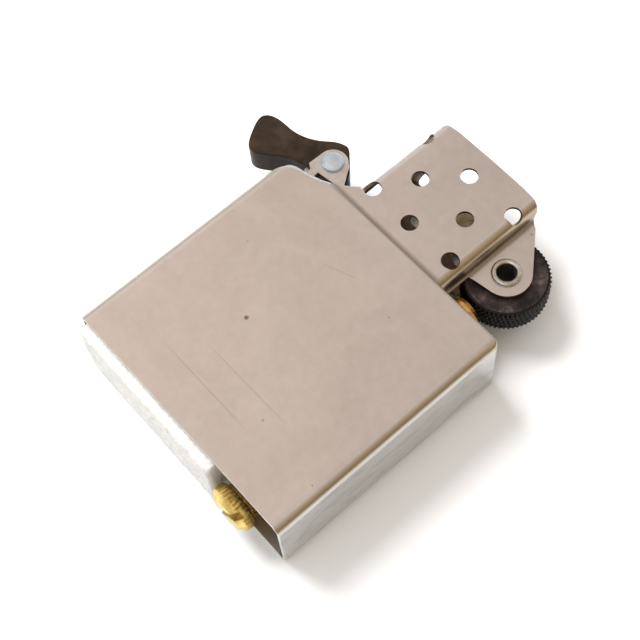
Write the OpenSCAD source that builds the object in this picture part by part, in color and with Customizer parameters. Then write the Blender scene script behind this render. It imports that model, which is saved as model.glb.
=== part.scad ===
// Inside unit of a wick-and-flint pocket lighter, lying on its back.
// X is the width (cam lever at -X, flint wheel at +X), Y runs from the felt end to the
// chimney, Z is up through the thickness. The back face lies on Z = 0. Millimetres.

/* [Tank] */
// Width across the tank
body_w = 36.3; // [35.6:0.1:37]
// Thickness of the tank, back face to front face
body_t = 11.4; // [11:0.1:11.6]
// Length of the tank, felt end to shoulder line
body_l = 33.9; // [33:0.1:35]
// Thickness of the tank's sheet
wall = 0.45; // [0.4:0.05:0.5]
// Radius of the tank's four long edges
edge_r = 1.4; // [1.2:0.1:2]
// Radius of the shoulder that dips on the cam side
shoulder_r = 12.4; // [12:0.1:12.8]

/* [Chimney] */
// X of the chimney's closed side, measured towards the cam
chimney_left = -8.8; // [-9.2:0.05:-8.6]
// X where the flat front ends and the wheel-side bend starts
chimney_flat = 6.55; // [6:0.05:6.8]
// Y of the chimney's open rim
chimney_top = 50.6; // [50:0.1:52]
// Thickness of the chimney's sheet
sheet = 0.4; // [0.35:0.05:0.45]
// Outer radius of the chimney's bends
bend_r = 1.5; // [1.4:0.1:1.7]
// Diameter of the air holes
air_hole_d = 2.25; // [2:0.05:2.5]

/* [Flint wheel] */
// Outer diameter of the flint wheel
wheel_d = 11.2; // [10.8:0.1:11.4]
// Width of the flint wheel
wheel_w = 3.9; // [3.5:0.1:4]
// Number of teeth on the flint wheel
wheel_teeth = 60; // [40:2:70]
// Shank diameter of the hollow wheel rivet
wheel_rivet_d = 2.9; // [2.8:0.1:3.1]
// Bore of the hollow wheel rivet
wheel_rivet_bore = 2.3; // [2:0.1:2.4]

/* [Flint system] */
// Outer diameter of the flint tube
tube_d = 4.7; // [4.6:0.1:4.9]
// Bore of the flint tube along the spring
tube_bore = 4; // [3.8:0.1:4]
// Diameter of the flint
flint_d = 2.5; // [2.3:0.1:2.6]
// Length of a new flint
flint_l = 5; // [4:0.5:6]
// Diameter of the flint screw's head
screw_head_d = 6.2; // [5.8:0.1:6.4]
// Thickness of the flint screw's head
screw_head_t = 2.1; // [1.9:0.1:2.4]
// Thread pitch of the flint screw
thread_pitch = 0.7; // [0.5:0.1:0.8]
// Number of turns of the flint spring
spring_turns = 17; // [12:1:20]

/* [Cam lever] */
// Thickness of the cam lever
cam_t = 4; // [3.8:0.1:4.2]
// Distance from the cam rivet to the middle of the lever's far end
cam_reach = 10.2; // [9.8:0.1:10.6]
// Radius of the lever's end around the rivet
cam_hub_r = 3.1; // [2.9:0.1:3.2]
// Shank diameter of the cam rivet
cam_rivet_d = 1.8; // [1.6:0.1:2]

/* [Wick and felt] */
// Diameter of the wick
wick_d = 3.4; // [3:0.1:3.6]
// Y of the wick's trimmed end
wick_top = 46.4; // [45:0.1:48]
// How far the felt stands out of the tank
felt_proud = 1.3; // [1:0.1:1.6]

/* [Hidden] */
$fn = 48;
mid_z = body_t / 2;
half_w = body_w / 2;
inner_x = half_w - wall;
// Colours
steel = [0.74, 0.70, 0.67];
brass = [0.76, 0.60, 0.25];
cotton = [0.93, 0.92, 0.88];
// Top plate: a flat sheet inside the tank, and a shoulder arc on the cam side
plate_top = body_l - 0.7;
plate_end = -12.9;
shoulder_c = [-17.75, body_l + 10.85];
shoulder_from = -80;
shoulder_to = -43.8;
corner_r = 2.9;
corner_c = [corner_r - half_w, body_l - 4.25];
far_corner_r = 1;
// Air holes as [Y of the row, X of each hole]
air_rows = [[37.15, [-7.5, -0.8, 6.25]],
            [42.35, [-4.45, 3.4]],
            [47, [-8.3, -0.65, 6.9]]];
air_hole_depth = 1.9;
// Wheel axle and the ears that hold it
axle = [11.1, 42];
wheel_ear_z = 2.5;
wheel_ear_r = 3.15;
ear_bend_r = 0.45;
wheel_chamfer = 0.3;
tooth_depth = 0.35;
rivet_flange_d = 3.8;
rivet_flange_t = 0.45;
running_gap = 0.04;
// Flint system axis
tube_x = 10.7;
tube_rim_y = 36.15;
tube_rim_d = 5;
tube_end_y = 0.05;
flint_bore = flint_d + 0.2;
flint_bore_from = 30;
flint_top_y = axle.y - wheel_d / 2;
flint_gap = 0.06;
shank_d = tube_bore - 0.14;
shank_l = 6;
stem_d = 1.5;
stem_l = 1.6;
slot_angle = 50;
slot_depth = 1.1;
slot_width = 1;
spring_d = 3.1;
spring_wire = 0.45;
follower_head = 1.6;
flint_base_y = flint_top_y - flint_l;
spring_from = shank_l;
spring_to = flint_base_y - follower_head;
// Cam lever, its ears and its rivet
cam_pivot = [-14.9, 37.1];
cam_angle = 199.8;
cam_closed = -65;
cam_flat = 2.6;
cam_side_flat = [48, 2.1];
cam_ear_gap = 0.12;
cam_head_d = 2.9;
// Leaf spring under the cam lever
leaf_t = 0.35;
leaf_w = 3.8;
slot_w = 4.1;
window_w = 6.4;
window_top = 40;
leaf_rivet = [-5, mid_z];
leaf_hole_d = 1.2;
// Wick
wick_x = 1.2;
wick_from = 4.2;
wick_hole_d = wick_d + 0.2;
wire_d = 0.35;
// Felt
felt_in = 2.8;
felt_gap = 0.5;
felt_bend_x = 5.6;
felt_right_x = 7.4;
felt_side = 0.35;

// Points along a circular arc, centre c, radius r, from angle a0 to a1
function arc(c, r, a0, a1, n = 6) =
    [for (i = [0 : n]) let (a = a0 + (a1 - a0) * i / n) [c.x + r * cos(a), c.y + r * sin(a)]];

function reversed(points) = [for (i = [len(points) - 1 : -1 : 0]) points[i]];

// The front half of a section, mirrored about the middle of the thickness
function back_of(points) = [for (p = reversed(points)) [p.x, body_t - p.y]];

// Corner points of a rounded rectangle section, inset by a margin
function rounded(inset) = let (x = half_w - edge_r, z0 = edge_r, z1 = body_t - edge_r, r = edge_r - inset)
    concat(arc([x, z1], r, 0, 90), arc([-x, z1], r, 90, 180),
           arc([-x, z0], r, 180, 270), arc([x, z0], r, 270, 360));

// Extrudes an X-Z section along Y from y0 to y1
module along_y(y0, y1) {
    translate([0, y1, 0])
        rotate([90, 0, 0])
            linear_extrude(y1 - y0)
                children();
}

// Turns a profile, drawn as radius and Y, about the flint system's axis
module turned() {
    translate([tube_x, 0, mid_z])
        rotate([-90, 0, 0])
            rotate_extrude()
                children();
}

// Cylinder through the thickness, from z0 to z1
module pillar(at, d, z0, z1) {
    translate([at.x, at.y, z0])
        cylinder(d = d, h = z1 - z0);
}

// The same sheet feature on the front and on the back
module both_faces() {
    children();
    translate([0, 0, body_t])
        mirror([0, 0, 1])
            children();
}

// Plan outline of the shoulder: rounded outer corner, then the dipping arc
function shoulder_line(inset, start = 180) = concat(
    arc(corner_c, corner_r - inset, start, 98, 5),
    arc(shoulder_c, shoulder_r + inset, shoulder_from, shoulder_to, 14));

// Plan area above the shoulder and outside the far top corner
module above_tank() {
    polygon(concat(shoulder_line(0), [[0, 60], [-30, 60], [-30, corner_c.y]]));
    difference() {
        translate([half_w - far_corner_r, body_l - far_corner_r])
            square(2 * far_corner_r);
        translate([half_w - far_corner_r, body_l - far_corner_r])
            circle(far_corner_r);
    }
}

module tank_case() {
    color(steel)
    difference() {
        along_y(0, body_l)
            polygon(rounded(0));
        along_y(-1, body_l + 1)
            polygon(rounded(wall));
        translate([0, 0, -1])
            linear_extrude(body_t + 2)
                above_tank();
    }
}

// Plan outline of one cam ear
module cam_ear_plan() {
    translate(cam_pivot) {
        circle(2);
        polygon([[-2, 0], [-2.05, -2.2], [-1.3, -2.6], [-1, -4.75], [0, -4.75], [-0.25, -2.3],
                 [2.6, -1.9], [3, -3.5], [5, -3.5], [1.65, 1.3]]);
    }
}

module top_plate() {
    ear_in = cam_t / 2 + cam_ear_gap;
    color(steel)
    difference() {
        union() {
            intersection() {
                translate([0, 0, wall])
                    linear_extrude(body_t - 2 * wall) {
                        polygon(concat(shoulder_line(0, 155), reversed(shoulder_line(wall, 155))));
                        translate([plate_end, plate_top - wall])
                            square([inner_x - plate_end, wall]);
                    }
                along_y(20, 40)
                    polygon(rounded(wall));
            }
            both_faces()
                translate([0, 0, mid_z + ear_in])
                    linear_extrude(sheet)
                        difference() {
                            cam_ear_plan();
                            translate(cam_pivot)
                                circle(d = cam_rivet_d);
                        }
        }
        // The windscreen's front and back sheets stand on the plate
        both_faces()
            translate([plate_end, plate_top, body_t - wall - sheet])
                cube([20, 5, 2]);
        // The shoulder's end stops at the chimney's closed side
        translate([chimney_left - 0.02, plate_top + 1.4, -1])
            cube([2, 4, body_t + 2]);
        // Slot that the leaf spring comes out of
        translate([-14, plate_top, mid_z - slot_w / 2])
            cube([6, 3.3, slot_w]);
        plate_hole(tube_x, tube_d);
        plate_hole(wick_x, wick_hole_d);
        plate_hole(leaf_rivet.x, leaf_hole_d);
    }
}

// Hole through the flat plate, square to it
module plate_hole(x, d) {
    translate([x, plate_top - 2, mid_z])
        rotate([-90, 0, 0])
            cylinder(d = d, h = 3);
}

// Front half of the chimney's section from the ear's tip to the closed side, at one surface of
// the sheet: depth is 0 at the outside surface and the sheet's thickness at the inside surface
function chimney_line(depth) = let (z = body_t - wall - bend_r, ear_z = mid_z + wheel_ear_z) concat(
    [[axle.x + wheel_ear_r + 0.5, ear_z - depth]],
    reversed(arc([chimney_flat + bend_r + ear_bend_r, ear_z + ear_bend_r], ear_bend_r + depth, 180, 270, 4)),
    arc([chimney_flat, z], bend_r - depth, 0, 90),
    arc([chimney_left + bend_r, z], bend_r - depth, 90, 180));

// Plan outline of the chimney with its wheel ear
module chimney_plan() {
    side = chimney_flat + bend_r + ear_bend_r;
    polygon(concat([[chimney_left - 1, plate_top], [side - 0.15, plate_top]],
        [[side - 0.15, 38.2], [axle.x + 0.5, axle.y - wheel_ear_r + 0.05], axle],
        [axle + wheel_ear_r * [cos(44), sin(44)], [side + 0.2, 49.3], [side - 0.4, chimney_top - 0.5]],
        [[chimney_flat - 1.5, chimney_top], [0, chimney_top], [chimney_left + 2, chimney_top - 0.15]],
        arc([chimney_left + 1, chimney_top - 1.2], 1, 90, 180), [[chimney_left - 1, chimney_top - 1.2]]));
    translate(axle)
        circle(wheel_ear_r);
}

// Small web between the shoulder and the chimney's closed side
module shoulder_web() {
    start = shoulder_from + 13;
    translate([0, 0, body_t - wall - sheet])
        linear_extrude(sheet)
            polygon(concat([[chimney_left + bend_r, plate_top], [plate_end, plate_top]],
                arc(shoulder_c, shoulder_r, start, shoulder_to, 7),
                [[chimney_left + bend_r, body_l + 3]]));
}

module windscreen() {
    line_out = chimney_line(0);
    line_in = chimney_line(sheet);
    color(steel)
    difference() {
        union() {
            intersection() {
                along_y(plate_top, chimney_top)
                    polygon(concat(line_out, back_of(line_out), reversed(concat(line_in, back_of(line_in)))));
                linear_extrude(body_t)
                    chimney_plan();
            }
            both_faces()
                shoulder_web();
        }
        both_faces()
            for (row = air_rows)
                for (x = row[1])
                    pillar([x, row[0]], air_hole_d, body_t - wall - air_hole_depth, body_t);
        // Window that the leaf spring passes through
        translate([chimney_left - 1, plate_top - 1, mid_z - window_w / 2])
            cube([1 + 2 * sheet, window_top - plate_top + 1, window_w]);
        pillar(axle, wheel_rivet_d, 0, body_t);
    }
}

module flint_tube() {
    r = tube_d / 2;
    rim_r = tube_rim_d / 2;
    color(brass)
    turned()
        polygon([[tube_bore / 2, tube_end_y], [r, tube_end_y], [r, plate_top], [rim_r, plate_top + 0.4],
                 [rim_r, tube_rim_y - 0.7], [rim_r - 0.3, tube_rim_y - 0.2], [rim_r - 0.8, tube_rim_y],
                 [flint_bore / 2, tube_rim_y], [flint_bore / 2, flint_bore_from],
                 [tube_bore / 2, flint_bore_from - 1]]);
}

module flint_wheel() {
    r = wheel_d / 2;
    tip = 360 / wheel_teeth;
    color("dimgray")
    difference() {
        intersection() {
            translate([axle.x, axle.y, mid_z - wheel_w / 2])
                linear_extrude(wheel_w)
                    polygon([for (i = [0 : wheel_teeth - 1], half = [0, 0.5])
                        (r - 2 * half * tooth_depth) * [cos((i + half) * tip), sin((i + half) * tip)]]);
            translate([axle.x, axle.y, mid_z])
                rotate_extrude()
                    polygon([[0, -wheel_w / 2], [r - wheel_chamfer, -wheel_w / 2], [r, wheel_chamfer - wheel_w / 2],
                             [r, wheel_w / 2 - wheel_chamfer], [r - wheel_chamfer, wheel_w / 2], [0, wheel_w / 2]]);
        }
        pillar(axle, wheel_rivet_d + 2 * running_gap, 0, body_t);
    }
}

module wheel_rivet() {
    end_z = wheel_ear_z;
    r = wheel_rivet_d / 2;
    flange_r = rivet_flange_d / 2;
    bore_r = wheel_rivet_bore / 2;
    color("silver")
    translate([axle.x, axle.y, mid_z])
        rotate_extrude()
            polygon(concat([[bore_r, -end_z - rivet_flange_t], [flange_r - 0.2, -end_z - rivet_flange_t],
                 [flange_r, -end_z - 0.2], [flange_r, -end_z], [r, -end_z]],
                [[r, end_z], [flange_r, end_z], [flange_r, end_z + 0.2],
                 [flange_r - 0.2, end_z + rivet_flange_t], [bore_r, end_z + rivet_flange_t]]));
}

module flint() {
    color("slategray")
    difference() {
        translate([tube_x, flint_base_y, mid_z])
            rotate([-90, 0, 0])
                cylinder(d = flint_d, h = flint_l + 0.5);
        pillar(axle, wheel_d + 2 * flint_gap, 0, body_t);
    }
}

module flint_follower() {
    color(brass)
    turned()
        polygon([[0, spring_to - stem_l], [stem_d / 2, spring_to - stem_l], [stem_d / 2, spring_to],
                 [flint_d / 2, spring_to], [flint_d / 2, flint_base_y - 0.3], [flint_d / 2 - 0.3, flint_base_y],
                 [0, flint_base_y]]);
}

// Rings of a coil swept from y0 to y1, and the closed solid around them
module coil(y0, y1, d, wire, turns) {
    sides = 6;
    steps = 14 * turns;
    r = (d - wire) / 2;
    points = [for (i = [0 : steps], k = [0 : sides - 1])
        let (a = 360 * turns * i / steps, b = 360 * k / sides, rr = r + wire / 2 * cos(b))
        [rr * cos(a), y0 + wire / 2 + (y1 - y0 - wire) * i / steps + wire / 2 * sin(b), rr * sin(a)]];
    walls = [for (i = [0 : steps - 1], k = [0 : sides - 1])
        let (n = (k + 1) % sides)
        [i * sides + k, (i + 1) * sides + k, (i + 1) * sides + n, i * sides + n]];
    first = [for (k = [0 : sides - 1]) k];
    last = [for (k = [sides - 1 : -1 : 0]) steps * sides + k];
    polyhedron(points, concat([first, last], walls));
}

module flint_spring() {
    color("gray")
    translate([tube_x, 0, mid_z])
        coil(spring_from, spring_to, spring_d, spring_wire, spring_turns);
}

module flint_screw() {
    r = screw_head_d / 2;
    root = shank_d / 2 - 0.25;
    threads = 7;
    color(brass)
    difference() {
        turned()
            polygon(concat(
                [[0, -screw_head_t], [r - 0.6, -screw_head_t], [r - 0.1, -screw_head_t + 0.4],
                 [r, -screw_head_t + 0.6], [r, -0.2], [r - 0.2, 0], [root, 0]],
                [for (i = [0 : threads - 1], part = [0.25, 0.5, 0.75, 1])
                    [part == 0.5 || part == 0.75 ? shank_d / 2 : root, thread_pitch * (i + part)]],
                [[root, shank_l], [stem_d / 2, shank_l], [stem_d / 2, shank_l + stem_l], [0, shank_l + stem_l]]));
        translate([tube_x, -screw_head_t, mid_z])
            rotate([0, -slot_angle, 0])
                cube([2 * r + 2, 2 * slot_depth, slot_width], center = true);
    }
}

// Plan outline of the lever about its rivet, before it is turned to its open position
module cam_plan() {
    high = [cam_reach + 0.4, 1.6];
    high_r = 1.45;
    low = [cam_reach - 0.3, -1.2];
    low_r = 1.65;
    lean = 11;
    difference() {
        union() {
            translate([0.2, 0.35])
                circle(cam_hub_r);
            polygon([[0, -2.7], low - [0, low_r], low + low_r * [cos(lean), -sin(lean)],
                     high + high_r * [cos(lean), -sin(lean)], high + [0, high_r], [0, 3.4]]);
            translate(high)
                circle(high_r);
            translate(low)
                circle(low_r);
        }
        translate([5.7, 9.6])
            circle(7.5);
        translate([4, -6.6])
            circle(5.6);
    }
}

module cam_lever() {
    color([0.27, 0.21, 0.17])
    difference() {
        translate([cam_pivot.x, cam_pivot.y, mid_z - cam_t / 2])
            linear_extrude(cam_t)
                difference() {
                    rotate(cam_angle)
                        mirror([0, 1])
                            cam_plan();
                    // Flats that the leaf spring bears on, open and closed
                    for (turn = [0, -cam_closed])
                        rotate(turn)
                            translate([-2, -cam_flat - 2])
                                square([4, 2]);
                    rotate(cam_side_flat[0])
                        translate([cam_side_flat[1], -3])
                            square([3, 6]);
                }
        pillar(cam_pivot, cam_rivet_d + 2 * running_gap, 0, body_t);
    }
}

module cam_rivet() {
    out_z = cam_t / 2 + cam_ear_gap + sheet;
    r = cam_rivet_d / 2;
    head_r = cam_head_d / 2;
    color("silver")
    translate([cam_pivot.x, cam_pivot.y, mid_z])
        rotate_extrude()
            polygon(concat([[0, -out_z - 0.5], [head_r - 0.5, -out_z - 0.45], [head_r, -out_z - 0.2],
                 [head_r, -out_z], [r, -out_z]],
                [[r, out_z], [head_r, out_z], [head_r, out_z + 0.2], [head_r - 0.5, out_z + 0.45],
                 [0, out_z + 0.5]]));
}

module cam_spring() {
    lift = cam_pivot.y - cam_flat - plate_top - leaf_t - 0.05;
    color("lightslategray")
    difference() {
        translate([0, plate_top, mid_z - leaf_w / 2])
            linear_extrude(leaf_w)
                polygon([[-3.8, 0], [-3.8, leaf_t], [-9.2, leaf_t], [-12.2, leaf_t + lift], [-17, leaf_t + lift],
                         [-17, lift], [-12.2, lift], [-9.2, 0]]);
        plate_hole(leaf_rivet.x, leaf_hole_d);
    }
}

module spring_rivet() {
    low = plate_top - wall;
    high = plate_top + leaf_t;
    r = leaf_hole_d / 2;
    color("silver")
    translate([leaf_rivet.x, 0, leaf_rivet.y])
        rotate([-90, 0, 0])
            rotate_extrude()
                polygon(concat([[0, low - 0.3], [1, low - 0.3], [1, low], [r, low]],
                    [[r, high], [1, high], [1, high + 0.3], [0, high + 0.3]]));
}

module wick() {
    color(cotton)
    difference() {
        translate([wick_x, wick_from, mid_z])
            rotate([-90, 0, 0])
                cylinder(d = wick_d, h = wick_top - wick_from);
        wick_wire_solid();
    }
}

module wick_wire_solid() {
    translate([wick_x, wick_from, mid_z + wick_d / 2 - 0.2])
        rotate([-90, 0, 0])
            cylinder(d = wire_d, h = wick_top - wick_from + 0.3);
}

module wick_wire() {
    color([0.6, 0.33, 0.2])
    wick_wire_solid();
}

// Compressed cotton ball with its corners rounded off, and clear of the wick
module packing(x0, x1, y0, y1) {
    mid = [(x0 + x1) / 2, (y0 + y1) / 2, mid_z];
    size = [x1 - x0, y1 - y0, body_t - 2 * wall - 0.6];
    color(cotton)
    difference() {
        intersection() {
            translate(mid)
                cube(size, center = true);
            translate(mid)
                sphere(r = norm(size) / 2 - 1.1);
        }
        translate([wick_x, 0, mid_z])
            rotate([-90, 0, 0])
                cylinder(d = wick_d + 0.6, h = body_l);
    }
}

module packing_1() {
    packing(-17.3, -8.8, 3.6, 17.6);
}

module packing_2() {
    packing(-8.5, 8.2, 3.6, 12.6);
}

module packing_3() {
    packing(-8.5, 8.2, 12.9, 22.6);
}

module packing_4() {
    packing(-17.3, -8.8, 17.9, 30.6);
}

module packing_5() {
    packing(-8.5, 8.2, 22.9, 32.4);
}

// Piece of the felt pad between x0 and x1
module felt(x0, x1) {
    color("white")
    translate([x0, -felt_proud, wall + felt_side])
        cube([x1 - x0, felt_proud + felt_in, body_t - 2 * wall - 2 * felt_side]);
}

module felt_root() {
    felt(felt_bend_x, felt_right_x);
}

module felt_flap() {
    felt(felt_gap - inner_x, felt_bend_x);
}

tank_case();
top_plate();
windscreen();
flint_tube();
flint_wheel();
wheel_rivet();
flint();
flint_follower();
flint_spring();
flint_screw();
cam_lever();
cam_rivet();
cam_spring();
spring_rivet();
wick();
wick_wire();
packing_1();
packing_2();
packing_3();
packing_4();
packing_5();
felt_root();
felt_flap();
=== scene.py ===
import math
import random

import bmesh
import bpy
from mathutils import Matrix, Vector, noise

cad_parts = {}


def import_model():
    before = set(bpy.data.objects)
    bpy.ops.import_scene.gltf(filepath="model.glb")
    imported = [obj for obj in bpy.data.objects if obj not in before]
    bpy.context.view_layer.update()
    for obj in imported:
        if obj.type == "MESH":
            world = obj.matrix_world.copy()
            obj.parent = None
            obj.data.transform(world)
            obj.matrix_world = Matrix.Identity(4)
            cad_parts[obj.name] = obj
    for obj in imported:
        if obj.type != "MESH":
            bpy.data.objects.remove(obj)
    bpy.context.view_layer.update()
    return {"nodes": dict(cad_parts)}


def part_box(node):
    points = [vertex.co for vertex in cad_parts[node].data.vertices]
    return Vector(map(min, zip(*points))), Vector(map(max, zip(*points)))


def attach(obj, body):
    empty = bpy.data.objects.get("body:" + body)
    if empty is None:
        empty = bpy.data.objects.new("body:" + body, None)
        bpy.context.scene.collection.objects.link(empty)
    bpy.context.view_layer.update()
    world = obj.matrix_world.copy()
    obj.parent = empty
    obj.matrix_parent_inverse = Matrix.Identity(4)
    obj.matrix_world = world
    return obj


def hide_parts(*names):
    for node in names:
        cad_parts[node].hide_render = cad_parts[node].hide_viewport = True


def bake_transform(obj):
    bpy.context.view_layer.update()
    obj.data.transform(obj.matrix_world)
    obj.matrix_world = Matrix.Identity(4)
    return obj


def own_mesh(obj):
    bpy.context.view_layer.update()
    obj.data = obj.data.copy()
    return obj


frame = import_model()
NODES = frame["nodes"]
random.seed(11)

# Places and sizes are millimetres in the CAD's frame; MM turns them into metres
MM = 0.001
HALF_W, THICK, LONG, WALL = 18.15, 11.4, 33.9, 0.45  # case: half width, thickness, length, sheet
MID = THICK / 2  # middle of the thickness
SHEET_T = 0.4  # windscreen's sheet
AX, AY = 11.1, 42.0  # flint wheel's axis
PIVOT = (-14.9, 37.1)  # cam lever's axis
TX = 10.7  # x of the axis of flint tube, screw and spring
WICK_X = 1.2  # x of the wick's axis


# ---------------------------------------------------------------- node materials
class Graph:
    """A small wrapper that adds shader nodes and returns their outputs."""

    def __init__(self, name, metallic=0.0, rough=0.5):
        self.mat = bpy.data.materials.new(name)
        self.mat.use_nodes = True
        self.tree = self.mat.node_tree
        self.tree.nodes.clear()
        self.out = self.tree.nodes.new("ShaderNodeOutputMaterial")
        self.shader = self.tree.nodes.new("ShaderNodeBsdfPrincipled")
        self.shader.inputs["Metallic"].default_value = metallic
        self.shader.inputs["Roughness"].default_value = rough
        self.link(self.shader.outputs[0], self.out.inputs[0])

    def link(self, a, b):
        self.tree.links.new(a, b)

    def feed(self, socket, value):
        """Links a node's output to a socket, or sets the socket's constant."""
        if isinstance(value, bpy.types.NodeSocket):
            self.link(value, socket)
        elif isinstance(value, (tuple, list)) and len(value) == 3 and socket.type == "RGBA":
            socket.default_value = (*value, 1)
        else:
            socket.default_value = value

    def set(self, name, value):
        self.feed(self.shader.inputs[name], value)

    def coords(self, scale=(1, 1, 1), move=(0, 0, 0), turn=0.0):
        """Object coordinates in millimetres, moved, turned about Z and stretched."""
        start = self.tree.nodes.new("ShaderNodeTexCoord").outputs["Object"]
        first = self.tree.nodes.new("ShaderNodeMapping")
        first.inputs["Scale"].default_value = (1000, 1000, 1000)
        first.inputs["Location"].default_value = [-v for v in move]
        self.link(start, first.inputs["Vector"])
        second = self.tree.nodes.new("ShaderNodeMapping")
        second.inputs["Rotation"].default_value = (0, 0, -turn)
        self.link(first.outputs[0], second.inputs["Vector"])
        third = self.tree.nodes.new("ShaderNodeMapping")
        third.inputs["Scale"].default_value = scale
        self.link(second.outputs[0], third.inputs["Vector"])
        return third.outputs[0]

    def noise(self, vector, scale, detail=3.0, rough=0.55, distortion=0.0):
        n = self.tree.nodes.new("ShaderNodeTexNoise")
        n.inputs["Scale"].default_value = scale
        n.inputs["Detail"].default_value = detail
        n.inputs["Roughness"].default_value = rough
        n.inputs["Distortion"].default_value = distortion
        self.link(vector, n.inputs["Vector"])
        return n.outputs["Fac"]

    def cells(self, vector, scale):
        n = self.tree.nodes.new("ShaderNodeTexVoronoi")
        n.inputs["Scale"].default_value = scale
        self.link(vector, n.inputs["Vector"])
        return n

    def ramp(self, fac, stops):
        """Ramp over (position, grey or colour) stops."""
        n = self.tree.nodes.new("ShaderNodeValToRGB")
        while len(n.color_ramp.elements) < len(stops):
            n.color_ramp.elements.new(0.5)
        for e, (at, c) in zip(n.color_ramp.elements, stops):
            e.position = at
            e.color = (*c, 1) if isinstance(c, (tuple, list)) else (c, c, c, 1)
        self.link(fac, n.inputs[0])
        return n.outputs[0]

    def mix(self, fac, a, b):
        n = self.tree.nodes.new("ShaderNodeMix")
        n.data_type = "RGBA"
        self.feed(n.inputs[0], fac)
        self.feed(n.inputs[6], a)
        self.feed(n.inputs[7], b)
        return n.outputs[2]

    def math(self, op, a, b=0.0, clamp=False):
        n = self.tree.nodes.new("ShaderNodeMath")
        n.operation = op
        n.use_clamp = clamp
        self.feed(n.inputs[0], a)
        self.feed(n.inputs[1], b)
        return n.outputs[0]

    def split(self, vector):
        n = self.tree.nodes.new("ShaderNodeSeparateXYZ")
        self.link(vector, n.inputs[0])
        return n.outputs

    def bump(self, height, strength, distance_mm):
        n = self.tree.nodes.new("ShaderNodeBump")
        n.inputs["Strength"].default_value = strength
        n.inputs["Distance"].default_value = distance_mm * MM
        self.link(height, n.inputs["Height"])
        self.link(n.outputs[0], self.shader.inputs["Normal"])

    def band(self, value, centre, half):
        """1 at the centre, falling to 0 at half a width from it."""
        away = self.math("ABSOLUTE", self.math("SUBTRACT", value, centre))
        return self.math("SUBTRACT", 1, self.math("DIVIDE", away, half), clamp=True)

    def stroke(self, start, end, width):
        """Mask of a fine straight mark between two points of the front face."""
        dx, dy = end[0] - start[0], end[1] - start[1]
        length = math.hypot(dx, dy)
        x, y, z = self.split(self.coords(move=(*start, 0), turn=math.atan2(dy, dx)))
        away = self.math("DIVIDE", self.math("ABSOLUTE", y), width)
        across = self.math("SUBTRACT", 1, away, clamp=True)
        middle = self.math("SUBTRACT", self.math("DIVIDE", x, length / 2), 1)
        ends = self.math("POWER", self.math("ABSOLUTE", middle), 4)
        along = self.math("SUBTRACT", 1, ends, clamp=True)
        front = self.math("GREATER_THAN", z, 11.0)
        return self.math("MULTIPLY", self.math("MULTIPLY", across, along), front)


def wear_and_painted_light(g, base, height):
    """Long scratches and smudges on the case, with painted shade in a small dent and at the
    windscreen's lip, and a painted reflection along the long bends.
    """
    long_a = g.stroke((-8.8, 5.2), (6.8, 5.2), 0.11)
    long_b = g.stroke((-5.0, 8.8), (9.2, 9.0), 0.1)
    short = g.stroke((-3.6, 25.6), (1.0, 27.4), 0.08)
    scratches = g.math("ADD", g.math("ADD", long_a, long_b), short, clamp=True)
    # Painted shade: a small dent drawn only as a dark spot, with no bump
    away = g.tree.nodes.new("ShaderNodeVectorMath")
    away.operation = "LENGTH"
    g.link(g.coords(move=(-4.3, 14.3, THICK)), away.inputs[0])
    pit_radius = 0.34
    reach = g.math("DIVIDE", away.outputs["Value"], pit_radius)
    pit = g.math("SUBTRACT", 1, reach, clamp=True)
    base = g.mix(g.math("MULTIPLY", scratches, 0.4), base, (0.3, 0.26, 0.24))
    base = g.mix(g.math("POWER", pit, 0.5), base, (0.14, 0.1, 0.09))
    height = g.math("SUBTRACT", height, g.math("MULTIPLY", scratches, 1.2))
    # Painted reflection along the long bends: a dark olive band standing in for what they mirror;
    # smudges on the narrow sides
    x, y, z = g.split(g.coords())
    out_x = g.math("SUBTRACT", g.math("ABSOLUTE", x), 17.0)
    out_z = g.math("SUBTRACT", g.math("ABSOLUTE", g.math("SUBTRACT", z, MID)), 4.6)
    side = g.math("MULTIPLY", out_x, 1.6, clamp=True)
    face = g.math("MULTIPLY", out_z, 2.0, clamp=True)
    edge_reflection_paint = g.math("MULTIPLY", g.math("MULTIPLY", side, face), 0.85)
    base = g.mix(edge_reflection_paint, base, (0.40, 0.325, 0.225))
    blotch = g.noise(g.coords(scale=(1, 0.5, 1.6)), 0.45, 6, 0.7)
    smudge = g.ramp(blotch, [(0.48, 0.0), (0.66, 1.0)])
    flank = g.math("MULTIPLY", g.math("GREATER_THAN", out_x, 1.08), smudge)
    base = g.mix(g.math("MULTIPLY", flank, 0.45), base, (0.30, 0.30, 0.30))
    # Painted shade: a dark line where the windscreen comes out of the case
    lip = g.math("MULTIPLY", g.math("SUBTRACT", y, 33.45), 4.0, clamp=True)
    lip = g.math("MULTIPLY", lip, g.math("GREATER_THAN", x, -11.3))
    base = g.mix(g.math("MULTIPLY", lip, 0.6), base, (0.17, 0.13, 0.10))
    return base, height


def painted_bend_light(g, base):
    """Straw-coloured painted reflection along the windscreen's bend, and painted shade in the fold
    beside it and at its foot.
    """
    x, y, _ = g.split(g.coords())
    # Painted shade at the windscreen's foot, where it goes into the case
    foot = g.math("MULTIPLY", g.math("SUBTRACT", 34.6, y), 2.0, clamp=True)
    base = g.mix(g.math("MULTIPLY", foot, 0.6), base, (0.16, 0.12, 0.09))
    # Painted reflection: a warm band over the bend, standing in for the olive surround it mirrors
    warm = g.band(x, 7.75, 0.8)
    # Painted shade in the fold between the bend and the ear
    dark = g.band(x, 8.35, 0.45)
    base = g.mix(g.math("POWER", warm, 0.4), base, (0.40, 0.32, 0.215))
    return g.mix(g.math("MULTIPLY", dark, 0.7), base, (0.12, 0.09, 0.065))


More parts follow.
